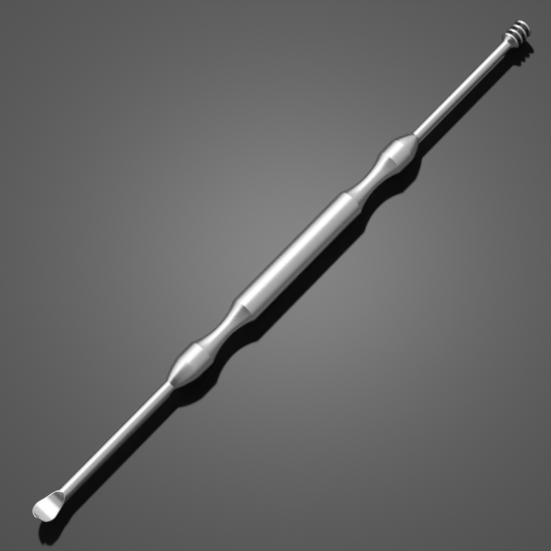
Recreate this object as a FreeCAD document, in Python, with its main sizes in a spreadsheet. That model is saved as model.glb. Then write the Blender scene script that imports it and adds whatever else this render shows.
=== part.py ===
# Ear pick: one bar of stainless steel, turned along its whole length, with a scoop formed at one end.
#
# Frame: the tool lies along X with the scoop at -X and the ringed head at +X, and the scoop opens
# upwards. X is 0 at the middle of the overall length and Z is 0 on the surface the tool lies on.
# Inside the body the turning axis is the X axis, and the body is raised by half the grip's diameter.
import FreeCAD, Part
import math
import os
from types import SimpleNamespace

import Sketcher
from FreeCAD import Vector

NODE = "ear_pick"

# Driving dimensions: name, value in millimetres or degrees, and what it measures
DIMENSIONS = [
    ("grip_diameter", 4.0, "grip and both bulbs, the size of the bar"),
    ("grip_length", 21.2, "straight grip between the necks"),
    ("neck_length", 8.0, "hollow between the grip and each bulb"),
    ("scoop_neck_diameter", 2.2, "thinnest place of the neck on the scoop's side"),
    ("head_neck_diameter", 2.3, "thinnest place of the neck on the head's side"),
    ("bulb_length", 2.65, "straight part of each bulb"),
    ("scoop_ogive_length", 3.35, "curved nose of the bulb on the scoop's side"),
    ("head_ogive_length", 2.85, "curved nose of the bulb on the head's side"),
    ("ogive_radius", 9.5, "bend of both noses"),
    ("scoop_reach", 24.15, "from the bulb's nose to the scoop's tip"),
    ("scoop_shank_diameter", 1.65, "thin shank that carries the scoop"),
    ("scoop_width", 3.2, "scoop's blank at its widest, a ball before it is hollowed"),
    ("scoop_flare_angle", 13.9, "each side of the scoop against the axis"),
    ("scoop_blend_radius", 1.0, "bend where the shank spreads into the scoop"),
    ("bowl_radius", 3.2, "wheel that grinds the hollow across the scoop"),
    ("bowl_depth", 0.35, "deepest line of the hollow, below the axis"),
    ("bowl_setback", 2.05, "from the tip to the hollow's deepest line"),
    ("bowl_wall", 0.40, "steel under the hollow's deepest line"),
    ("belly_radius", 4.2, "curl of the scoop's underside"),
    ("belly_slope", 3.5, "fall of the underside towards the shank"),
    ("rim_rounding", 0.12, "upper edge of the scoop"),
    ("belly_rounding", 0.20, "lower edge of the scoop"),
    ("notch_depth", 0.47, "nick in the tip, from the longer lobe's point"),
    ("notch_width", 0.27, "nick between the two lobes"),
    ("notch_offset", 0.15, "nick's flank beside the axis, on the longer lobe"),
    ("lobe_setback", 0.35, "shorter lobe behind the longer one"),
    ("lobe_half_width", 1.15, "from the axis to where the shorter lobe joins the outline"),
    ("head_reach", 23.65, "from the bulb's nose to the end of the head"),
    ("head_shank_diameter", 1.55, "thin shank that carries the head"),
    ("head_diameter", 2.96, "rings of the head"),
    ("head_cone_length", 0.42, "sloping back of the first ring"),
    ("ring_pitch", 0.93, "from one ring to the next"),
    ("ring_thickness", 0.42, "each ring"),
    ("ring_count", 4, "number of rings"),
    ("crown_radius", 0.27, "bend of the rings' crowned rims"),
    ("core_diameter", 1.5, "core left between two rings"),
]

# Lengths that follow one another from the scoop's tip to the end of the head
LENGTH_CHAIN = [
    "scoop_reach",
    "scoop_ogive_length",
    "bulb_length",
    "neck_length",
    "grip_length",
    "neck_length",
    "bulb_length",
    "head_ogive_length",
    "head_reach",
]

size = SimpleNamespace(**{name: number for name, number, meaning in DIMENSIONS})

doc = FreeCAD.newDocument("EarPick")

sheet = doc.addObject("Spreadsheet::Sheet", "Sizes")
for row, (name, number, meaning) in enumerate(DIMENSIONS, start=1):
    sheet.set(f"A{row}", meaning)
    sheet.set(f"B{row}", str(number))
    sheet.setAlias(f"B{row}", name)
doc.recompute()

body = doc.addObject("PartDesign::Body", "EarPick")
body.Label = NODE
body.setExpression("Placement.Base.z", "Sizes.grip_diameter / 2")

TIP_X = "(-(" + " + ".join(f"Sizes.{name}" for name in LENGTH_CHAIN) + ") / 2)"
tip_x = -sum(getattr(size, name) for name in LENGTH_CHAIN) / 2
end_x = -tip_x

# Where the crown of a ring's rim meets its sides, from the axis
RIM_EDGE = ("(Sizes.head_diameter / 2 - Sizes.crown_radius"
            " + sqrt(Sizes.crown_radius ^ 2 - (Sizes.ring_thickness / 2) ^ 2))")
crown_depth = size.crown_radius - math.sqrt(size.crown_radius ** 2 - size.ring_thickness ** 2 / 4)
rim_edge = size.head_diameter / 2 - crown_depth
head_x = end_x - size.ring_thickness - (size.ring_count - 1) * size.ring_pitch

# How near two places count as one
NEAR = 1e-3

# Sketch items that every sketch has: its X axis and its origin
SKETCH_AXIS = (-1,)
SKETCH_ORIGIN = (-1, 1)


class Outline:
    """A sketch of the body, drawn as a closed loop of named edges from point to point."""

    def __init__(self, name, role, start=(0, 0)):
        plane = next(item for item in body.Origin.OriginFeatures if item.Role == role)
        self.sketch = body.newObject("Sketcher::SketchObject", name)
        self.sketch.AttachmentSupport = [(plane, "")]
        self.sketch.MapMode = "FlatFace"
        self.last = start
        self.edges = {}
        self.starts = {}
        self.ends = {}

    def add(self, name, curve, end):
        """Adds an edge and keeps which of its two points it starts and ends with."""
        index = self.sketch.addGeometry(curve, False)
        runs_on = self.sketch.getPoint(index, 2).distanceToPoint(Vector(*end, 0)) < NEAR
        first, second = (1, 2) if runs_on else (2, 1)
        self.edges[name] = (index,)
        self.starts[name] = (index, first)
        self.ends[name] = (index, second)
        self.last = end

    def line(self, name, end):
        """A straight edge from the last point."""
        self.add(name, Part.LineSegment(Vector(*self.last, 0), Vector(*end, 0)), end)

    def arc(self, name, middle, end):
        """A round edge from the last point through a middle point."""
        self.add(name, Part.Arc(Vector(*self.last, 0), Vector(*middle, 0), Vector(*end, 0)), end)

    def bend(self, name, end, radius, side):
        """A shallow round edge of a given radius, bulging to the left of its run where side is 1."""
        run = end[0] - self.last[0]
        rise = end[1] - self.last[1]
        chord = math.hypot(run, rise)
        shift = side * (radius - math.sqrt(radius ** 2 - chord ** 2 / 4)) / chord
        middle = (
            (self.last[0] + end[0]) / 2 - rise * shift,
            (self.last[1] + end[1]) / 2 + run * shift,
        )
        self.arc(name, middle, end)

    def join(self, smooth=()):
        """Joins each edge to the next and the last to the first. Edges in smooth start tangent."""
        names = list(self.edges)
        for before, after in zip(names, names[1:] + names[:1]):
            kind = "Tangent" if after in smooth else "Coincident"
            self.hold(kind, self.ends[before], self.starts[after])

    def hold(self, kind, *items):
        """A constraint without a size."""
        numbers = [number for item in items for number in item]
        self.sketch.addConstraint(Sketcher.Constraint(kind, *numbers))

    def drive(self, name, kind, formula, *items):
        """A constraint whose size is bound to the sheet."""
        numbers = [number for item in items for number in item]
        amount = float(self.sketch.evalExpression(formula))
        index = self.sketch.addConstraint(Sketcher.Constraint(kind, *numbers, amount))
        self.sketch.renameConstraint(index, name)
        self.sketch.setExpression(f"Constraints.{name}", formula)

    def place(self, name, point, x_formula, y_formula):
        """Fixes a point of the sketch at two distances from its origin."""
        self.drive(f"{name}_x", "DistanceX", x_formula, SKETCH_ORIGIN, point)
        self.drive(f"{name}_y", "DistanceY", y_formula, SKETCH_ORIGIN, point)


def waist_radius(half_length, drop):
    """Radius of a hollow that falls by drop in half its length."""
    return (half_length ** 2 + drop ** 2) / (2 * drop)


def waist_formula(waist_name):
    """The same radius of one neck, as a formula on the sheet."""
    half = "(Sizes.neck_length / 2)"
    drop = f"((Sizes.grip_diameter - Sizes.{waist_name}) / 2)"
    return f"({half} ^ 2 + {drop} ^ 2) / (2 * {drop})"


def turned_profile():
    """Half section of the turned bar, from the scoop's ball end to the head's flat end."""
    grip_radius = size.grip_diameter / 2
    shank_radius = size.scoop_shank_diameter / 2
    head_shank_radius = size.head_shank_diameter / 2
    core_radius = size.core_diameter / 2
    ball_radius = size.scoop_width / 2
    flare = math.radians(size.scoop_flare_angle)

    ball_x = tip_x + ball_radius
    ball_end = (ball_x + ball_radius * math.sin(flare), ball_radius * math.cos(flare))
    ball_middle = (2 * ball_x - ball_end[0], ball_end[1])
    corner_x = ball_end[0] + (ball_end[1] - shank_radius) / math.tan(flare)
    blend_reach = size.scoop_blend_radius * math.tan(flare / 2)
    blend_start = (
        corner_x - blend_reach * math.cos(flare),
        shank_radius + blend_reach * math.sin(flare),
    )
    nose_x = tip_x + size.scoop_reach
    bulb_x = nose_x + size.scoop_ogive_length
    neck_x = bulb_x + size.bulb_length
    grip_x = neck_x + size.neck_length
    grip_end_x = grip_x + size.grip_length
    neck_end_x = grip_end_x + size.neck_length
    bulb_end_x = neck_end_x + size.bulb_length
    nose_end_x = bulb_end_x + size.head_ogive_length
    half_neck = size.neck_length / 2
    scoop_neck_bend = waist_radius(half_neck, grip_radius - size.scoop_neck_diameter / 2)
    head_neck_bend = waist_radius(half_neck, grip_radius - size.head_neck_diameter / 2)

    outline = Outline("TurnedProfile", "XZ_Plane", (tip_x, 0))
    outline.arc("ball", ball_middle, ball_end)
    outline.line("flare", blend_start)
    outline.bend("blend", (corner_x + blend_reach, shank_radius), size.scoop_blend_radius, -1)
    outline.line("scoop_shank", (nose_x, shank_radius))
    outline.bend("scoop_ogive", (bulb_x, grip_radius), size.ogive_radius, 1)
    outline.line("scoop_bulb", (neck_x, grip_radius))
    outline.bend("scoop_neck", (grip_x, grip_radius), scoop_neck_bend, -1)
    outline.line("grip", (grip_end_x, grip_radius))
    outline.bend("head_neck", (neck_end_x, grip_radius), head_neck_bend, -1)
    outline.line("head_bulb", (bulb_end_x, grip_radius))
    outline.bend("head_ogive", (nose_end_x, head_shank_radius), size.ogive_radius, 1)
    outline.line("head_shank", (head_x - size.head_cone_length, head_shank_radius))
    outline.line("cone", (head_x, rim_edge))
    outline.line("step", (head_x, core_radius))
    outline.line("core", (end_x, core_radius))
    outline.line("end_face", (end_x, 0))
    outline.line("axis", (tip_x, 0))
    outline.join(smooth=("flare", "blend", "scoop_shank"))

    for name in ("scoop_shank", "scoop_bulb", "grip", "head_bulb", "head_shank", "core"):
        outline.hold("Horizontal", outline.edges[name])
    for name in ("step", "end_face"):
        outline.hold("Vertical", outline.edges[name])
    outline.hold("PointOnObject", outline.ends["end_face"], SKETCH_AXIS)
    ball_center = (*outline.edges["ball"], 3)
    outline.hold("PointOnObject", ball_center, SKETCH_AXIS)

    outline.place("tip", outline.starts["ball"], TIP_X, "0")
    outline.drive("flare_fall", "Angle", "-Sizes.scoop_flare_angle", outline.edges["flare"])
    outline.drive("scoop_run", "DistanceX", "Sizes.scoop_reach",
                  outline.starts["ball"], outline.ends["scoop_shank"])
    outline.drive("head_run", "DistanceX", "Sizes.head_reach",
                  outline.starts["head_shank"], outline.ends["core"])
    lengths = {
        "scoop_ogive": "Sizes.scoop_ogive_length",
        "scoop_bulb": "Sizes.bulb_length",
        "scoop_neck": "Sizes.neck_length",
        "grip": "Sizes.grip_length",
        "head_neck": "Sizes.neck_length",
        "head_bulb": "Sizes.bulb_length",
        "head_ogive": "Sizes.head_ogive_length",
        "cone": "Sizes.head_cone_length",
        "core": "Sizes.ring_thickness + (Sizes.ring_count - 1) * Sizes.ring_pitch",
    }
    for name, formula in lengths.items():
        outline.drive(f"{name}_length", "DistanceX", formula, outline.starts[name], outline.ends[name])
    radii = {
        "scoop_ogive": "Sizes.scoop_shank_diameter / 2",
        "scoop_bulb": "Sizes.grip_diameter / 2",
        "grip": "Sizes.grip_diameter / 2",
        "head_bulb": "Sizes.grip_diameter / 2",
        "head_shank": "Sizes.head_shank_diameter / 2",
        "core": "Sizes.core_diameter / 2",
    }
    for name, formula in radii.items():
        outline.drive(f"{name}_radius", "DistanceY", formula, SKETCH_ORIGIN, outline.starts[name])
    outline.drive("rim_edge", "DistanceY", RIM_EDGE, SKETCH_ORIGIN, outline.ends["cone"])
    bends = {
        "ball": "Sizes.scoop_width / 2",
        "blend": "Sizes.scoop_blend_radius",
        "scoop_ogive": "Sizes.ogive_radius",
        "scoop_neck": waist_formula("scoop_neck_diameter"),
        "head_neck": waist_formula("head_neck_diameter"),
        "head_ogive": "Sizes.ogive_radius",
    }
    for name, formula in bends.items():
        outline.drive(f"{name}_bend", "Radius", formula, outline.edges[name])
    return outline.sketch


def hollow_outline():
    """The grinding wheel seen from the side: a full circle across the scoop."""
    outline = Outline("HollowWheel", "XZ_Plane")
    center = Vector(tip_x + size.bowl_setback, size.bowl_radius - size.bowl_depth, 0)
    circle = outline.sketch.addGeometry(Part.Circle(center, Vector(0, 0, 1), size.bowl_radius), False)
    outline.drive("wheel", "Radius", "Sizes.bowl_radius", (circle,))
    outline.place("wheel", (circle, 3), f"{TIP_X} + Sizes.bowl_setback",
                  "Sizes.bowl_radius - Sizes.bowl_depth")
    return outline.sketch


def belly_outline():
    """What is ground off under the scoop: a slope from the shank that curls up to the tip."""
    slope = math.radians(size.belly_slope)
    deepest = (tip_x + size.bowl_setback, -size.bowl_depth - size.bowl_wall)
    center = (
        deepest[0] + size.belly_radius * math.sin(slope),
        deepest[1] + size.belly_radius * math.cos(slope),
    )
    front_x = tip_x - size.bowl_wall
    back_x = tip_x + size.scoop_reach / 2
    low_z = -size.scoop_width
    back_z = deepest[1] - (back_x - deepest[0]) * math.tan(slope)
    front_z = center[1] - math.sqrt(size.belly_radius ** 2 - (center[0] - front_x) ** 2)

    outline = Outline("BellyCut", "XZ_Plane", (back_x, back_z))
    outline.line("slope", deepest)
    outline.bend("curl", (front_x, front_z), size.belly_radius, 1)
    outline.line("front", (front_x, low_z))
    outline.line("bottom", (back_x, low_z))
    outline.line("back", (back_x, back_z))
    outline.join(smooth=("curl",))
    for name in ("front", "back"):
        outline.hold("Vertical", outline.edges[name])
    outline.hold("Horizontal", outline.edges["bottom"])
    outline.place("deepest", outline.ends["slope"], f"{TIP_X} + Sizes.bowl_setback",
                  "-Sizes.bowl_depth - Sizes.bowl_wall")
    outline.drive("slope_run", "DistanceX", "Sizes.scoop_reach / 2 - Sizes.bowl_setback",
                  outline.ends["slope"], outline.starts["slope"])
    outline.drive("slope_fall", "DistanceY",
                  "-(Sizes.scoop_reach / 2 - Sizes.bowl_setback) * tan(Sizes.belly_slope * 1 deg)",
                  outline.ends["slope"], outline.starts["slope"])
    outline.drive("curl_bend", "Radius", "Sizes.belly_radius", outline.edges["curl"])
    outline.drive("curl_end", "DistanceX", f"{TIP_X} - Sizes.bowl_wall",
                  SKETCH_ORIGIN, outline.ends["curl"])
    outline.drive("low", "DistanceY", "-Sizes.scoop_width", SKETCH_ORIGIN, outline.ends["front"])
    return outline.sketch


def notch_outline():
    """What is missing from the tip, from above: a narrow nick, and the front of the shorter lobe."""
    front_x = tip_x - size.notch_depth
    flank_y = size.notch_offset
    shoulder = (tip_x + size.lobe_setback, flank_y - size.notch_width)
    ball_radius = size.scoop_width / 2
    lobe_end_x = tip_x + ball_radius - math.sqrt(ball_radius ** 2 - size.lobe_half_width ** 2)

    outline = Outline("TipNotch", "XY_Plane", (front_x, flank_y))
    outline.line("flank", (tip_x + size.notch_depth, flank_y))
    outline.line("nick", shoulder)
    outline.bend("lobe", (lobe_end_x, -size.lobe_half_width), ball_radius, -1)
    outline.line("side", (front_x, -size.lobe_half_width))
    outline.line("front", (front_x, flank_y))
    outline.join()
    for name in ("flank", "side"):
        outline.hold("Horizontal", outline.edges[name])
    outline.hold("Vertical", outline.edges["front"])
    outline.place("nick", outline.ends["flank"], f"{TIP_X} + Sizes.notch_depth", "Sizes.notch_offset")
    outline.place("shoulder", outline.ends["nick"], f"{TIP_X} + Sizes.lobe_setback",
                  "Sizes.notch_offset - Sizes.notch_width")
    outline.place("lobe", outline.ends["lobe"],
                  f"{TIP_X} + Sizes.scoop_width / 2"
                  " - sqrt((Sizes.scoop_width / 2) ^ 2 - Sizes.lobe_half_width ^ 2)",
                  "-Sizes.lobe_half_width")
    outline.drive("lobe_bend", "Radius", "Sizes.scoop_width / 2", outline.edges["lobe"])
    outline.drive("front", "DistanceX", f"{TIP_X} - Sizes.notch_depth",
                  SKETCH_ORIGIN, outline.starts["front"])
    return outline.sketch


def ring_outline():
    """Half section of the first ring: a disc from the axis out to a crowned rim."""
    outline = Outline("RingSection", "XZ_Plane", (head_x, 0))
    outline.line("back", (head_x, rim_edge))
    outline.arc("crown", (head_x + size.ring_thickness / 2, size.head_diameter / 2),
                (head_x + size.ring_thickness, rim_edge))
    outline.line("front", (head_x + size.ring_thickness, 0))
    outline.line("axis", (head_x, 0))
    outline.join()
    for name in ("back", "front"):
        outline.hold("Vertical", outline.edges[name])
    outline.hold("Horizontal", outline.starts["crown"], outline.ends["crown"])
    outline.hold("PointOnObject", outline.ends["front"], SKETCH_AXIS)
    outline.place("ring", outline.starts["back"],
                  f"-{TIP_X} - Sizes.ring_thickness - (Sizes.ring_count - 1) * Sizes.ring_pitch", "0")
    outline.drive("rim_edge", "DistanceY", RIM_EDGE, SKETCH_ORIGIN, outline.ends["back"])
    outline.drive("thickness", "DistanceX", "Sizes.ring_thickness",
                  outline.starts["crown"], outline.ends["crown"])
    outline.drive("crown_center", "DistanceY", "Sizes.head_diameter / 2 - Sizes.crown_radius",
                  SKETCH_ORIGIN, (*outline.edges["crown"], 3))
    return outline.sketch


def add_feature(kind, name, **properties):
    """A feature of the body, computed at once, so that a failed one is found where it is made."""
    feature = body.newObject(f"PartDesign::{kind}", name)
    for key, setting in properties.items():
        setattr(feature, key, setting)
    body.Tip = feature
    doc.recompute()
    check(feature)
    return feature


def check(item):
    """Stops at an object that failed or has no sound shape."""
    if "Invalid" in item.State or "Error" in item.State:
        raise RuntimeError(f"{item.Label} failed: {item.State}")
    if item.Shape.isNull() or not item.Shape.isValid():
        raise RuntimeError(f"{item.Label} has no valid shape")


def cut(kind, name, **properties):
    """A feature that takes steel away, with its effect compared."""
    before = body.Tip.Shape.Volume
    feature = add_feature(kind, name, **properties)
    if feature.Shape.Volume >= before:
        raise RuntimeError(f"{name} removes nothing")
    return feature


def cut_across(name, sketch):
    """Cuts an outline right through the body, to both sides of its plane."""
    return cut("Pocket", name, Profile=sketch, Type="ThroughAll", SideType="Symmetric")


def round_edges(name, radius_name, test):
    """Rounds the body's present edges that pass a test, by a radius of the sheet."""
    before = body.Tip
    names = [f"Edge{number}" for number, edge in enumerate(before.Shape.Edges, start=1) if test(edge)]
    feature = body.newObject("PartDesign::Fillet", name)
    feature.Base = (before, names)
    feature.setExpression("Radius", f"Sizes.{radius_name}")
    body.Tip = feature
    doc.recompute()
    check(feature)
    return feature


def along(edge):
    """Three points of an edge, by which its surface is told."""
    first, last = edge.ParameterRange
    return [edge.valueAt(first + (last - first) * part) for part in (0.02, 0.5, 0.98)]


def on_circle(point, center, radius):
    """Whether a point, seen from the side, lies on a circle of the side view."""
    return abs(math.hypot(point.x - center[0], point.z - center[1]) - radius) < NEAR


def is_hollow_edge(edge):
    """The scoop's upper edges, where the grinding wheel left the steel."""
    center = (tip_x + size.bowl_setback, size.bowl_radius - size.bowl_depth)
    return all(on_circle(point, center, size.bowl_radius) for point in along(edge))


def is_belly_edge(edge):
    """The scoop's lower edges, on the slope and on the curl. The line between the two is smooth."""
    slope = math.radians(size.belly_slope)
    deepest_x = tip_x + size.bowl_setback
    deepest_z = -size.bowl_depth - size.bowl_wall
    center = (
        deepest_x + size.belly_radius * math.sin(slope),
        deepest_z + size.belly_radius * math.cos(slope),
    )

    def on_belly(point):
        if point.x > deepest_x:
            slope_z = deepest_z - (point.x - deepest_x) * math.tan(slope)
            return abs(point.z - slope_z) < NEAR
        return on_circle(point, center, size.belly_radius)

    return edge.BoundBox.XLength > NEAR and all(on_belly(point) for point in along(edge))


# The bar is turned first
bar_sketch = turned_profile()
add_feature("Revolution", "TurnedBar", Profile=bar_sketch, ReferenceAxis=(bar_sketch, ["H_Axis"]))

# The scoop: hollowed across by a wheel, relieved below, its edges rounded, its tip nicked
cut_across("ScoopHollow", hollow_outline())
cut_across("ScoopBelly", belly_outline())
round_edges("BellyRounding", "belly_rounding", is_belly_edge)
round_edges("RimRounding", "rim_rounding", is_hollow_edge)
cut_across("ScoopNotch", notch_outline())

# The head: one crowned ring, repeated along the core
ring_sketch = ring_outline()
ring = add_feature("Revolution", "FirstRing", Profile=ring_sketch, ReferenceAxis=(ring_sketch, ["H_Axis"]))
rings = body.newObject("PartDesign::LinearPattern", "Rings")
rings.Originals = [ring]
rings.Direction = (ring_sketch, ["H_Axis"])
rings.Mode = "Spacing"
rings.setExpression("Offset", "Sizes.ring_pitch")
rings.setExpression("Occurrences", "Sizes.ring_count")
body.Tip = rings
doc.recompute()
check(rings)

for item in doc.Objects:
    if "Invalid" in item.State or "Error" in item.State:
        raise RuntimeError(f"{item.Label} failed: {item.State}")
check(body)

os.makedirs("parts", exist_ok=True)
body.Shape.exportStep(f"parts/{body.Label}.step")
print(f"{body.Label}: {body.Shape.Volume:.2f} cubic millimetres, {len(body.Shape.Solids)} solid")
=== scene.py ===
import math

import bmesh
import bpy
import numpy as np
from mathutils import Matrix, Vector


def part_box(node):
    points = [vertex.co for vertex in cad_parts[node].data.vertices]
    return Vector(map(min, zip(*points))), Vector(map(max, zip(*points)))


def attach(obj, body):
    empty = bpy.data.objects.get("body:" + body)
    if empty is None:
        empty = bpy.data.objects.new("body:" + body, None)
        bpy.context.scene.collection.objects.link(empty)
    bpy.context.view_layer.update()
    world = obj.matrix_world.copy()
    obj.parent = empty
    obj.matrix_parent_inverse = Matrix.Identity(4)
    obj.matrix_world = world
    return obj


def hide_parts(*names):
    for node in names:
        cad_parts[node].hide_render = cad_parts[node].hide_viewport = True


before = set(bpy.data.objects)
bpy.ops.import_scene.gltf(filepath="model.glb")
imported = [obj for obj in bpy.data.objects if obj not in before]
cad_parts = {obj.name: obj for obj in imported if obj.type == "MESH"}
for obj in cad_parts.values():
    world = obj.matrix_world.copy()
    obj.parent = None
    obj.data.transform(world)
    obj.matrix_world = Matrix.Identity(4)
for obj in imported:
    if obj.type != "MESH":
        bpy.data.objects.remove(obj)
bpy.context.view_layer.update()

mm = 0.001
lowCorner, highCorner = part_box("ear_pick")
axisHeight = (lowCorner.z + highCorner.z) / 2  # the turning axis lies level above the floor
endX = highCorner.x
tipX = -endX
barSegments = 192  # faces round the bar, in the turned part and in the scoop alike


class Flow:
    # A number in a node tree. Arithmetic on it adds the Math nodes that work it out.
    def __init__(self, net, socket):
        self.net = net
        self.socket = socket

    def math(self, operation, *others, clamp=False):
        node = self.net.node("ShaderNodeMath", {"operation": operation, "use_clamp": clamp},
                             dict(enumerate((self, *others))))
        return Flow(self.net, node.outputs[0])

    def __add__(self, other):
        return self.math("ADD", other)

    def __mul__(self, other):
        return self.math("MULTIPLY", other)

    __radd__ = __add__
    __rmul__ = __mul__

    def __sub__(self, other):
        return self.math("SUBTRACT", other)

    def __rsub__(self, other):
        return self.net.number(other).math("SUBTRACT", self)

    def __truediv__(self, other):
        return self.math("DIVIDE", other)

    def __rtruediv__(self, other):
        return self.net.number(other).math("DIVIDE", self)

    def __pow__(self, power):
        return self.math("POWER", power)

    def __mod__(self, period):
        return self.math("FLOORED_MODULO", period)

    def root(self):
        return self.math("MAXIMUM", 0.0).math("SQRT")

    def least(self, other):
        return self.math("MINIMUM", other)

    def most(self, other):
        return self.math("MAXIMUM", other)

    def share(self, low, high):
        # How far the number is from low to high, held between 0 and 1
        return (self - low).math("DIVIDE", high - low, clamp=True)


class Net:
    # A node tree, with one method for every kind of node
    def __init__(self, tree):
        self.tree = tree

    def node(self, kind, settings=None, feeds=None):
        made = self.tree.nodes.new(kind)
        for name, setting in (settings or {}).items():
            if name == "stops":
                ramp = made.color_ramp.elements
                ramp.remove(ramp[1])
                ramp[0].position = setting[0][0]
                for place, _ in setting[1:]:
                    ramp.new(place)
                for stop, (_, level) in zip(ramp, setting):
                    stop.color = (level, level, level, 1)
            else:
                setattr(made, name, setting)
        for key, item in (feeds or {}).items():
            self.feed(made.inputs[key], item)
        return made

    def feed(self, socket, item):
        if isinstance(item, Flow):
            item = item.socket
        if isinstance(item, bpy.types.NodeSocket):
            self.tree.links.new(item, socket)
        else:
            socket.default_value = item

    def number(self, item):
        if isinstance(item, Flow):
            return item
        made = self.node("ShaderNodeMath", {"operation": "ADD"}, {0: float(item), 1: 0.0})
        return Flow(self, made.outputs[0])

    def parts(self, vector):
        split = self.node("ShaderNodeSeparateXYZ", None, {0: vector})
        return [Flow(self, item) for item in split.outputs]


def newMaterial(name):
    material = bpy.data.materials.new(name)
    material.use_nodes = True
    material.node_tree.nodes.clear()
    return material, Net(material.node_tree)


def turnedSteel():
    look = {
        "colour": (0.64, 0.64, 0.64),
        "edgeTint": (0.42, 0.42, 0.42, 1),  # what the steel keeps of a glancing reflection
        "roughness": 0.28,
        "groundSmoother": 0.07,  # how much smoother the ground scoop is
        "groundUpTo": (4.4 * mm, 5.4 * mm),  # grinding gives way to turning here, behind the tip
        "grooveRougher": 0.15,
        # painted shade in the grooves between the head's rings, with some grime: how much darker
        # the colour gets there
        "grooveShadeAndGrime": 0.35,
        "turnedPitch": 0.07 * mm,  # from one turning mark to the next
        "scratchWidth": 0.03 * mm,
        "cloudSize": 3.0 * mm,
        "reliefDepth": 0.0048 * mm,  # of a mark of full height; the next three are shares of it
        "turnedRelief": 0.5,
        "groundRelief": 0.06,
        "scratchRelief": 0.08,
    }
    material, net = newMaterial("turnedSteel")
    place = net.node("ShaderNodeTexCoord").outputs["Object"]
    x, y, z = net.parts(place)
    height = z - axisHeight
    fromAxis = (y * y + height * height).root()

    # Where the surface was turned, and where the scoop was ground lengthwise
    groundEnd, turnedStart = look["groundUpTo"]
    turned = x.share(tipX + groundEnd, tipX + turnedStart)
    # The grooves between the head's rings: rougher there, and darker by painted shade with some
    # grime
    inGroove = x.share(endX - 3.2 * mm, endX - 3.1 * mm) * fromAxis.share(1.36 * mm, 0.9 * mm)

    def noise(scales, detail, rough):
        spread = net.node("ShaderNodeMapping", None, {"Vector": place, "Scale": scales})
        made = net.node("ShaderNodeTexNoise", None,
                        {"Vector": spread.outputs[0], "Scale": 1.0, "Detail": detail,
                         "Roughness": rough})
        return Flow(net, made.outputs[0])

    pitch = look["turnedPitch"]
    rings = noise((1 / pitch, 20, 20), 3.0, 0.6)
    bands = noise((0.08 / pitch, 30, 30), 2.0, 0.5)
    fine = 1 / look["scratchWidth"]
    grinding = noise((fine / 40, fine, fine / 20), 3.0, 0.6)
    streaks = noise((fine / 60, fine / 2, fine / 2), 2.0, 0.5)
    clouds = noise((1 / look["cloudSize"],) * 3, 3.0, 0.55)

    marks = rings * turned + grinding * (1 - turned)
    scratch = streaks.share(0.66, 0.74)
    roughness = (look["roughness"] + (clouds - 0.5) * 0.10 + (bands - 0.5) * 0.05
                 + (marks - 0.5) * 0.06 + scratch * 0.06
                 - (1 - turned) * look["groundSmoother"] + inGroove * look["grooveRougher"])
    # Colour: random cloudiness and the marks, less painted shade with some grime in the head's
    # grooves
    shade = (1 + (clouds - 0.5) * 0.06 + (marks - 0.5) * 0.05 - scratch * 0.05
             - inGroove * look["grooveShadeAndGrime"])
    colour = net.node("ShaderNodeVectorMath", {"operation": "SCALE"},
                      {0: look["colour"], "Scale": shade})
    relief = (rings * turned * look["turnedRelief"] + grinding * (1 - turned) * look["groundRelief"]
              + scratch * look["scratchRelief"])
    bump = net.node("ShaderNodeBump", None,
                    {"Strength": 0.5, "Distance": look["reliefDepth"], "Height": relief})
    surface = net.node("ShaderNodeBsdfPrincipled", None,
                       {"Base Color": colour.outputs[0], "Metallic": 1.0, "Roughness": roughness,
                        "Specular Tint": look["edgeTint"], "Normal": bump.outputs[0]})
    net.node("ShaderNodeOutputMaterial", None, {"Surface": surface.outputs[0]})
    return material


# The turned bar, from the neck of the scoop to the end of the head
bar = {
    "Grip Diameter": 4.0 * mm,
    "Grip Length": 21.2 * mm,
    "Neck Length": 8.0 * mm,
    "Scoop Neck Diameter": 2.2 * mm,
    "Head Neck Diameter": 2.3 * mm,
    "Bulb Length": 2.65 * mm,
    "Scoop Ogive Length": 3.35 * mm,
    "Head Ogive Length": 2.85 * mm,
    "Ogive Radius": 9.5 * mm,
    "Scoop Reach": 24.15 * mm,
    "Scoop Shank Diameter": 1.65 * mm,
    "Head Shank Diameter": 1.55 * mm,
    "Head Reach": 23.65 * mm,
    "Head Cone Length": 0.70 * mm,
    "Head Diameter": 2.96 * mm,
    "Ring Pitch": 0.93 * mm,
    "Ring Thickness": 0.42 * mm,
    "Crown Radius": 0.27 * mm,
    "Core Diameter": 1.5 * mm,
}
ringCount = 4
coneHollow = 1.6  # 1 makes the cone behind the rings straight, and more makes its side hollow
wallRun = 0.004 * mm  # a ring's side leans by this much, so that each station has one radius
edgeRun = 0.05 * mm  # short faces beside a corner, which keep its shading tight
joinX = tipX + 6.0 * mm  # where the scoop's mesh meets the bar's


def barStations():
    # Lengths along the bar and the number of faces in each
    head = bar["Ring Thickness"] + (ringCount - 1) * bar["Ring Pitch"]
    zones = []

    def zone(length, faces):
        zones.extend([(edgeRun, 1), (length - 2 * edgeRun, faces), (edgeRun, 1)])

    zone(tipX + bar["Scoop Reach"] - joinX, 24)
    zone(bar["Scoop Ogive Length"], 22)
    zone(bar["Bulb Length"], 4)
    zone(bar["Neck Length"], 36)
    zone(bar["Grip Length"], 28)
    zone(bar["Neck Length"], 36)
    zone(bar["Bulb Length"], 4)
    zone(bar["Head Ogive Length"], 20)
    zone(bar["Head Reach"] - head - bar["Head Cone Length"], 26)
    zone(bar["Head Cone Length"], 10)
    gap = bar["Ring Pitch"] - bar["Ring Thickness"] - 2 * wallRun
    for ring in range(ringCount):
        zones.append((bar["Ring Thickness"], 14))
        if ring < ringCount - 1:
            zones.extend([(wallRun, 1), (gap, 3), (wallRun, 1)])
    return zones


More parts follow.
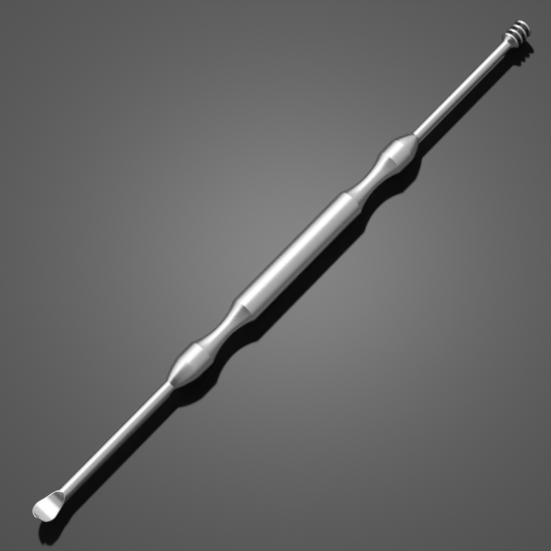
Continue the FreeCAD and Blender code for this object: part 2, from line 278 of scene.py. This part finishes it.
def barTree():
    tree = bpy.data.node_groups.new("turnedBar", "GeometryNodeTree")
    net = Net(tree)
    tree.interface.new_socket("Geometry", in_out="INPUT", socket_type="NodeSocketGeometry")
    tree.interface.new_socket("Geometry", in_out="OUTPUT", socket_type="NodeSocketGeometry")
    for name, amount in bar.items():
        socket = tree.interface.new_socket(name, in_out="INPUT", socket_type="NodeSocketFloat")
        socket.default_value = amount
    tree.interface.new_socket("Material", in_out="INPUT", socket_type="NodeSocketMaterial")
    given = net.node("NodeGroupInput").outputs
    size = {name: Flow(net, given[name]) for name in bar}

    zones = barStations()
    stations = sum(faces for _, faces in zones) + 1
    cap = stations  # one more station closes the end, on the axis
    sheet = net.node("GeometryNodeMeshGrid", None,
                     {"Size X": float(cap), "Size Y": 1.0, "Vertices X": cap + 1,
                      "Vertices Y": barSegments + 1})
    spot = net.parts(net.node("GeometryNodeInputPosition").outputs[0])
    step = spot[0] + cap / 2
    angle = (spot[1] + 0.5) * (2 * math.pi)

    # Along the bar: each zone adds its length while its own faces are counted
    x = net.number(joinX)
    first = 0
    for length, faces in zones:
        x = x + step.share(first, first + faces) * length
        first += faces

    # The rule of the radius, from the scoop's side to the head
    gripRadius = size["Grip Diameter"] / 2
    half = size["Neck Length"] / 2
    noseX = tipX + size["Scoop Reach"]
    bulbX = noseX + size["Scoop Ogive Length"]
    neckX = bulbX + size["Bulb Length"]
    gripX = neckX + size["Neck Length"]
    gripEndX = gripX + size["Grip Length"]
    neckEndX = gripEndX + size["Neck Length"]
    bulbEndX = neckEndX + size["Bulb Length"]
    noseEndX = bulbEndX + size["Head Ogive Length"]

    def waist(middleX, diameter):
        drop = gripRadius - diameter / 2
        bend = (half * half + drop * drop) / (drop * 2)
        beside = x - middleX
        return diameter / 2 + bend - (bend * bend - beside * beside).root()

    def ogive(into, length, shankRadius):
        # A nose that bulges between the shank and the bulb, by how far x is into it
        run = into.most(0.0).least(length)
        rise = gripRadius - shankRadius
        chord = (length * length + rise * rise).root()
        lift = (size["Ogive Radius"] ** 2 - chord * chord / 4).root() / chord
        centerRun = length / 2 + rise * lift
        centerRise = rise / 2 - length * lift
        beside = run - centerRun
        return shankRadius + centerRise + (size["Ogive Radius"] ** 2 - beside * beside).root()

    scoopSide = ogive(x - noseX, size["Scoop Ogive Length"], size["Scoop Shank Diameter"] / 2)
    headSide = ogive(noseEndX - x, size["Head Ogive Length"], size["Head Shank Diameter"] / 2)
    radius = (gripRadius.least(waist(neckX + half, size["Scoop Neck Diameter"]))
              .least(waist(gripEndX + half, size["Head Neck Diameter"]))
              .least(scoopSide).least(headSide))

    # The head: a cone, then crowned rings on their core
    rim = size["Head Diameter"] / 2
    thickness = size["Ring Thickness"]
    pitch = size["Ring Pitch"]
    headX = endX - thickness - pitch * (ringCount - 1)
    halfRing = thickness / 2
    crownBend = size["Crown Radius"]
    rimEdge = rim - crownBend + (crownBend * crownBend - halfRing * halfRing).root()
    coneStart = headX - size["Head Cone Length"]
    shank = size["Head Shank Diameter"] / 2
    cone = shank + (rimEdge - shank) * x.share(coneStart, headX) ** coneHollow
    into = (x - headX + wallRun / 4) % pitch - wallRun / 4
    beside = into.most(0.0).least(thickness) - halfRing
    crown = rim - crownBend + (crownBend * crownBend - beside * beside).root()
    raised = 1 - into.share(thickness, thickness + wallRun) + into.share(pitch - wallRun, pitch)
    core = size["Core Diameter"] / 2
    rings = core + (crown - core) * raised
    inHead = x.share(headX - wallRun / 4, headX)
    onCone = x.share(coneStart - wallRun, coneStart)
    radius = radius + (cone - radius) * onCone
    radius = radius + (rings - radius) * inHead
    radius = radius * (1 - step.share(cap - 1, cap))

    spread = net.node("ShaderNodeCombineXYZ", None,
                      {"X": x, "Y": radius * angle.math("COSINE"),
                       "Z": radius * angle.math("SINE") + axisHeight})
    rolled = net.node("GeometryNodeSetPosition", None,
                      {"Geometry": sheet.outputs["Mesh"], "Position": spread.outputs[0]})
    closed = net.node("GeometryNodeMergeByDistance", None,
                      {"Geometry": rolled.outputs[0], "Distance": wallRun / 16})
    real = net.node("GeometryNodeRealizeInstances", None, {"Geometry": closed.outputs[0]})
    coated = net.node("GeometryNodeSetMaterial", None,
                      {"Geometry": real.outputs[0], "Material": given["Material"]})
    net.node("NodeGroupOutput", None, {"Geometry": coated.outputs[0]})
    return tree


def turnedBar(material):
    holder = bpy.data.objects.new("barRule", bpy.data.meshes.new("barRule"))
    bpy.context.scene.collection.objects.link(holder)
    modifier = holder.modifiers.new("turnedBar", "NODES")
    modifier.node_group = barTree()
    for item in modifier.node_group.interface.items_tree:
        if item.in_out == "INPUT" and item.name in bar:
            modifier[item.identifier] = bar[item.name]
        if item.in_out == "INPUT" and item.name == "Material":
            modifier[item.identifier] = material
    view = bpy.context.evaluated_depsgraph_get()
    mesh = bpy.data.meshes.new_from_object(holder.evaluated_get(view), depsgraph=view)
    bpy.data.objects.remove(holder)
    return mesh


# The scoop: the bar's ball end, hollowed across by a wheel and relieved below
scoop = {
    "ballRadius": 1.64 * mm,
    "flare": math.radians(17.5),
    "shankRadius": 0.825 * mm,
    "blendRadius": 1.0 * mm,
    "bowlRadius": 3.2 * mm,
    "bowlDepth": 0.35 * mm,
    "bowlSetback": 2.05 * mm,
    "bowlWall": 0.40 * mm,
    "bellyRadius": 4.2 * mm,
    "bellySlope": math.radians(3.5),
    "rimRounding": 0.12 * mm,
    "bellyRounding": 0.20 * mm,
    "notchDepth": 0.45 * mm,
    "notchWidth": 0.27 * mm,
    "notchOffset": -0.08 * mm,
    "lobeSetback": 0.27 * mm,
    "lobeHalfWidth": 1.3 * mm,
    "notchFade": 1.5 * mm,  # how far behind the tip the shorter lobe's set-back dies away
    "lift": math.radians(12.0),  # upward tilt of the scoop, by a bend of the shank behind it
    "liftRadius": 5.0 * mm,
    "straight": 4.75 * mm,  # from the tip to the bend
    "frontTaper": 0.07,  # how much narrower the front is than the blank's ball
    "stations": 150,
    "crowding": 1.7,  # above 1, the stations crowd towards the tip
}
halvings = 46  # steps that narrow a point down to the last digit
unbentRun = scoop["straight"] + scoop["lift"] * scoop["liftRadius"]
bentRun = (scoop["straight"] * math.cos(scoop["lift"])
           + scoop["liftRadius"] * math.sin(scoop["lift"]))
bendEndX = tipX + bentRun
unbentTip = bendEndX - unbentRun  # where the tip lies before the scoop is lifted
ballX = unbentTip + scoop["ballRadius"]
deepestX = unbentTip + scoop["bowlSetback"]
deepestZ = -scoop["bowlDepth"] - scoop["bowlWall"]
curlX = deepestX + scoop["bellyRadius"] * math.sin(scoop["bellySlope"])
curlZ = deepestZ + scoop["bellyRadius"] * math.cos(scoop["bellySlope"])


def blankRadius(x):
    # Radius of the turned blank behind its ball: cone, bend and shank
    slope = math.tan(scoop["flare"])
    rise = scoop["ballRadius"] / math.cos(scoop["flare"]) - scoop["shankRadius"]
    cornerX = ballX + rise / slope
    reach = scoop["blendRadius"] * math.tan(scoop["flare"] / 2)
    bendX = cornerX + reach
    bendRun = scoop["blendRadius"] * math.sin(scoop["flare"])
    beside = np.clip(x - bendX, -bendRun, 0)
    bend = scoop["blendRadius"] - np.sqrt(scoop["blendRadius"] ** 2 - beside ** 2)
    cone = np.maximum(bendX - bendRun - x, 0) * slope
    return scoop["shankRadius"] + bend + cone


def roundCut(first, second, rounding):
    # Keeps what is inside both, with the corner between them rounded
    corner = np.hypot(np.maximum(first + rounding, 0), np.maximum(second + rounding, 0))
    return np.minimum(np.maximum(first, second), -rounding) + corner


def scoopDistance(x, y, z):
    # How far a point is outside the scoop, below 0 inside it; z is from the axis
    fromAxis = np.hypot(y, z)
    ball = np.sqrt((x - ballX) ** 2 + fromAxis ** 2) - scoop["ballRadius"]
    cone = (fromAxis - blankRadius(x)) * math.cos(scoop["flare"])
    blank = np.where(x - ballX < fromAxis * math.tan(scoop["flare"]), ball, cone)
    wheelZ = scoop["bowlRadius"] - scoop["bowlDepth"]
    hollow = scoop["bowlRadius"] - np.hypot(x - deepestX, z - wheelZ)
    slope = scoop["bellySlope"]
    below = -((z - deepestZ) * math.cos(slope) + (x - deepestX) * math.sin(slope))
    curl = np.hypot(x - curlX, z - curlZ) - scoop["bellyRadius"]
    belly = np.where(x < deepestX, curl, below)
    return roundCut(roundCut(blank, belly, scoop["bellyRounding"]), hollow, scoop["rimRounding"])


def reachOf(x, z, towardsY, towardsZ):
    # How far the surface lies from a point inside, in a direction across the bar
    near = np.zeros_like(x)
    far = np.full_like(x, 3 * scoop["ballRadius"]) / np.hypot(towardsY, towardsZ)
    for _ in range(halvings):
        middle = (near + far) / 2
        inside = scoopDistance(x, middle * towardsY, z + middle * towardsZ) < 0
        near = np.where(inside, middle, near)
        far = np.where(inside, far, middle)
    return near


def plateMiddle(x):
    # Height of the scoop's middle layer, between the wheel's cut and the curl below
    wheelZ = scoop["bowlRadius"] - scoop["bowlDepth"]
    top = wheelZ - np.sqrt(scoop["bowlRadius"] ** 2 - (x - deepestX) ** 2)
    bottom = curlZ - np.sqrt(scoop["bellyRadius"] ** 2 - (x - curlX) ** 2)
    return (top + bottom) / 2


def frontSetback(y):
    # How far the tip stands back at each y: nothing on the longer lobe, most in the nick
    ball = scoop["ballRadius"]
    outline = ball - np.sqrt(np.maximum(ball ** 2 - y ** 2, 0))
    shoulderY = scoop["notchOffset"] - scoop["notchWidth"]
    inNick = (scoop["notchOffset"] - y) / scoop["notchWidth"]
    nick = scoop["notchDepth"] + (scoop["lobeSetback"] - scoop["notchDepth"]) * inNick
    lobeEnd = ball - math.sqrt(ball ** 2 - scoop["lobeHalfWidth"] ** 2)
    run = scoop["lobeHalfWidth"] + shoulderY
    rise = lobeEnd - scoop["lobeSetback"]
    chord = math.hypot(run, rise)
    lift = math.sqrt(ball ** 2 - chord ** 2 / 4) / chord
    centerY = (shoulderY - scoop["lobeHalfWidth"]) / 2 + rise * lift
    centerRun = (scoop["lobeSetback"] + lobeEnd) / 2 + run * lift
    lobe = centerRun - np.sqrt(np.maximum(ball ** 2 - (y - centerY) ** 2, 0))
    front = np.where(y > shoulderY, nick, lobe)
    cutBack = (y <= scoop["notchOffset"]) & (y >= -scoop["lobeHalfWidth"])
    return np.where(cutBack, np.maximum(front - outline, 0), 0)


def lifted(x, z):
    # Bends the straight scoop upwards. The shank keeps its length along the bend.
    run = np.maximum(bendEndX - x, 0)
    turn = np.minimum(run / scoop["liftRadius"], scoop["lift"])
    beyond = run - turn * scoop["liftRadius"]
    centerX = bendEndX - scoop["liftRadius"] * np.sin(turn) - beyond * np.cos(turn)
    centerZ = scoop["liftRadius"] * (1 - np.cos(turn)) + beyond * np.sin(turn)
    bentX = np.where(run > 0, centerX + z * np.sin(turn), x)
    return bentX, centerZ + z * np.cos(turn)


def scoopMesh(bm):
    angles = np.arange(barSegments) * 2 * math.pi / barSegments

    # The foremost point of the rounded tip, on the middle plane
    heights = np.linspace(-0.2 * mm, 0.5 * mm, 1401)
    near = np.full_like(heights, deepestX)
    far = np.full_like(heights, unbentTip - mm)
    for _ in range(halvings):
        middle = (near + far) / 2
        inside = scoopDistance(middle, 0 * heights, heights) < 0
        near = np.where(inside, middle, near)
        far = np.where(inside, far, middle)
    foremost = near.min()
    tipHeight = heights[near.argmin()]

    counts = np.arange(1, scoop["stations"] + 1) / scoop["stations"]
    stations = foremost + (joinX - foremost) * counts ** scoop["crowding"]

    # Each station's middle, half thickness and half width
    start = np.maximum(plateMiddle(np.minimum(stations, unbentTip + 4.3 * mm)), -0.6 * mm)
    start = np.where(stations < unbentTip + 3.2 * mm, start, np.minimum(start, 0))
    start = np.where(stations < foremost + 0.02 * mm, tipHeight, start)
    up = reachOf(stations, start, 0 * stations, 0 * stations + 1)
    down = reachOf(stations, start, 0 * stations, 0 * stations - 1)
    middles = start + (up - down) / 2
    thick = (up + down) / 2
    wide = reachOf(stations, middles, 0 * stations + 1, 0 * stations)

    x = np.repeat(stations, barSegments)
    z0 = np.repeat(middles, barSegments)
    towardsY = np.outer(wide, np.cos(angles)).ravel()
    towardsZ = np.outer(thick, np.sin(angles)).ravel()
    reach = reachOf(x, z0, towardsY, towardsZ)
    y = reach * towardsY
    z = z0 + reach * towardsZ
    last = slice(-barSegments, None)
    y[last] = scoop["shankRadius"] * np.cos(angles)
    z[last] = scoop["shankRadius"] * np.sin(angles)
    x, y, z = (np.append(line, point) for line, point in ((x, foremost), (y, 0), (z, tipHeight)))

    # The shorter lobe stands back: its steel slides along the curl
    ball = scoop["ballRadius"]
    behind = x - (ballX - np.sqrt(np.maximum(ball ** 2 - y ** 2, 0)))
    fade = np.clip(1 - behind / scoop["notchFade"], 0, 1)
    fade = fade * fade * (3 - 2 * fade)
    moved = x + frontSetback(y) * fade
    z = z + np.where(fade > 0, plateMiddle(np.minimum(moved, deepestX + mm))
                     - plateMiddle(np.minimum(x, deepestX + mm)), 0)

    # The front narrows, and then the whole scoop is lifted
    front = np.clip((unbentTip + 1.5 * scoop["ballRadius"] - moved) / scoop["ballRadius"], 0, 1)
    y = y * (1 - scoop["frontTaper"] * front * front * (3 - 2 * front))
    moved, z = lifted(moved, z)
    points = [bm.verts.new(place) for place in zip(moved, y, z + axisHeight)]
    tip = points[-1]
    for station in range(scoop["stations"]):
        ring = points[station * barSegments:(station + 1) * barSegments]
        for side in range(barSegments):
            beside = (side + 1) % barSegments
            if station == 0:
                bm.faces.new((tip, ring[side], ring[beside]))
            else:
                before = points[(station - 1) * barSegments:station * barSegments]
                bm.faces.new((before[side], ring[side], ring[beside], before[beside]))


def earPick(material):
    mesh = turnedBar(material)
    bm = bmesh.new()
    bm.from_mesh(mesh)
    scoopMesh(bm)
    bmesh.ops.remove_doubles(bm, verts=bm.verts, dist=wallRun / 16)
    bmesh.ops.recalc_face_normals(bm, faces=bm.faces)
    openEdges = sum(1 for edge in bm.edges if not edge.is_manifold)
    for face in bm.faces:
        face.smooth = True
        face.material_index = 0
    volume = bm.calc_volume()
    bm.to_mesh(mesh)
    bm.free()
    mesh.materials.clear()
    mesh.materials.append(material)
    mesh.set_sharp_from_angle(angle=math.radians(35))
    piece = bpy.data.objects.new("steelEarPick", mesh)
    bpy.context.scene.collection.objects.link(piece)
    print(f"ear pick: {len(mesh.polygons)} faces, {openEdges} open edges, {volume * 1e9:.1f} mm3")
    return piece


steel = turnedSteel()
pick = earPick(steel)
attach(pick, "root")
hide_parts("ear_pick")

stage = {
    "floorSize": 3.0,
    "floorColour": (0.24, 0.24, 0.24),
    # A painted pool of light: the floor's colour is darker away from the middle, as if a lamp fell
    # off
    "paintedPoolFade": 27 * mm,  # how far from the middle the floor is darker by half of what it loses
    "paintedPoolRest": 0.2,  # what it keeps of its colour far away
    "keyDirection": (0.42, 0.68, 1.0),
    "keyDistance": 0.9,
    "keySize": 0.07,
    "keyPower": 9.7,
    "skyDiffuse": 0.003,
    # What the steel mirrors: half the brightness by the angle from straight up, in degrees, towards
    # the far side where above 0
    "panels": ((-90, 0.07), (-70, 0.20), (-53, 0.27), (-12, 0.34), (0, 0.40), (8, 0.75), (18, 0.84),
               (48, 0.82), (58, 0.66), (68, 0.54), (79, 0.44), (90, 0.38)),
    # Darker towards the scoop's side, twice, and towards the head's: from which share of the way
    # level along the tool to which, the brightness left, and the angles at which this stops
    "scoopSide": (-0.22, -0.06, 0.34),
    "scoopSideReach": (17, 25),
    "scoopEnd": (-0.64, -0.44, 0.06),
    "scoopEndReach": (33, 42),
    "headSide": (0.70, 0.78, 0.42),
}


def makeFloor():
    bm = bmesh.new()
    bmesh.ops.create_grid(bm, x_segments=1, y_segments=1, size=stage["floorSize"] / 2)
    mesh = bpy.data.meshes.new("floor")
    bm.to_mesh(mesh)
    bm.free()
    floor = bpy.data.objects.new("floor", mesh)
    floor.location.z = lowCorner.z
    bpy.context.scene.collection.objects.link(floor)
    material, net = newMaterial("paleFloor")
    x, y, _ = net.parts(net.node("ShaderNodeTexCoord").outputs["Object"])
    # Painted pool of light: the floor's colour darkens with distance from the middle
    away = (x * x + y * y) / stage["paintedPoolFade"] ** 2
    shade = stage["paintedPoolRest"] + (1 - stage["paintedPoolRest"]) / (away + 1)
    colour = net.node("ShaderNodeVectorMath", {"operation": "SCALE"},
                      {0: stage["floorColour"], "Scale": shade})
    surface = net.node("ShaderNodeBsdfPrincipled", None,
                       {"Base Color": colour.outputs[0], "Roughness": 0.85,
                        "Specular IOR Level": 0.2})
    net.node("ShaderNodeOutputMaterial", None, {"Surface": surface.outputs[0]})
    mesh.materials.append(material)


def makeLights():
    lamp = bpy.data.lights.new("key", "AREA")
    lamp.shape = "DISK"
    lamp.size = stage["keySize"]
    lamp.energy = stage["keyPower"]
    key = bpy.data.objects.new("key", lamp)
    towards = Vector(stage["keyDirection"]).normalized()
    key.location = towards * stage["keyDistance"]
    key.rotation_euler = towards.to_track_quat("Z", "Y").to_euler()
    key.visible_glossy = False  # the panels are what the steel mirrors
    bpy.context.scene.collection.objects.link(key)

    world = bpy.data.worlds.new("studio")
    bpy.context.scene.world = world
    world.use_nodes = True
    world.node_tree.nodes.clear()
    net = Net(world.node_tree)
    path = net.node("ShaderNodeLightPath").outputs
    # The floor keeps its shadow: light that it gets by way of the steel sees no panels
    mirrored = Flow(net, path["Is Glossy Ray"]) * (1 - Flow(net, path["Diffuse Depth"]).least(1.0))
    seen = Flow(net, path["Is Camera Ray"]).most(mirrored)
    along, across, high = net.parts(net.node("ShaderNodeTexCoord").outputs["Generated"])
    angle = across.math("ARCTAN2", high) * (180 / math.pi)
    stops = [((place + 90) / 180, level) for place, level in stage["panels"]]
    ramp = net.node("ShaderNodeValToRGB", {"stops": stops}, {"Fac": (angle + 90) / 180})
    panels = 2 * Flow(net, ramp.outputs[0])
    for name in ("scoopSide", "scoopEnd"):
        low, high, dim = stage[name]
        shade = (1 - along.share(low, high)) * (1 - angle.share(*stage[name + "Reach"]))
        panels = panels + (panels.least(dim) - panels) * shade
    low, high, dim = stage["headSide"]
    panels = panels.least(2 * dim + 2 * (1 - dim) * (1 - along.share(low, high)))
    level = stage["skyDiffuse"] + seen * (panels - stage["skyDiffuse"])
    sky = net.node("ShaderNodeBackground", None, {"Color": (1, 1, 1, 1), "Strength": level})
    net.node("ShaderNodeOutputWorld", None, {"Surface": sky.outputs[0]})


shot = {
    "elevation": math.radians(68.0),
    "heading": math.radians(42.5),
    "distance": 213 * mm,
    "aimX": -3.6 * mm,  # the place on the axis that is nearest the picture's middle
    "aside": 0.313 * mm,  # how far below and right of the middle the axis passes
    "acrossRight": 0.712,  # the way across the tool in the picture
    "acrossDown": 0.702,
    "focal": 1600,  # in pixels of the photo's 551
    "pixels": 551,
}


def makeCamera():
    level = Vector((math.cos(shot["heading"]), math.sin(shot["heading"]), 0))
    sight = level * math.cos(shot["elevation"]) - Vector((0, 0, math.sin(shot["elevation"])))
    right = sight.cross(Vector((0, 0, 1))).normalized()
    up = right.cross(sight)
    downRight = (right * shot["acrossRight"] - up * shot["acrossDown"]).normalized()
    aim = Vector((shot["aimX"], 0, axisHeight)) - downRight * shot["aside"]
    lens = bpy.data.cameras.new("camera")
    lens.sensor_width = 36
    lens.lens = lens.sensor_width * shot["focal"] / shot["pixels"]
    lens.clip_start = 0.01
    camera = bpy.data.objects.new("camera", lens)
    turn = Matrix((right, up, -sight)).transposed().to_4x4()
    camera.matrix_world = Matrix.Translation(aim - sight * shot["distance"]) @ turn
    bpy.context.scene.collection.objects.link(camera)
    bpy.context.scene.camera = camera


makeFloor()
makeLights()
makeCamera()
bpy.context.scene.view_settings.view_transform = "Standard"
bpy.context.view_layer.update()
print("stage, lights and camera set")
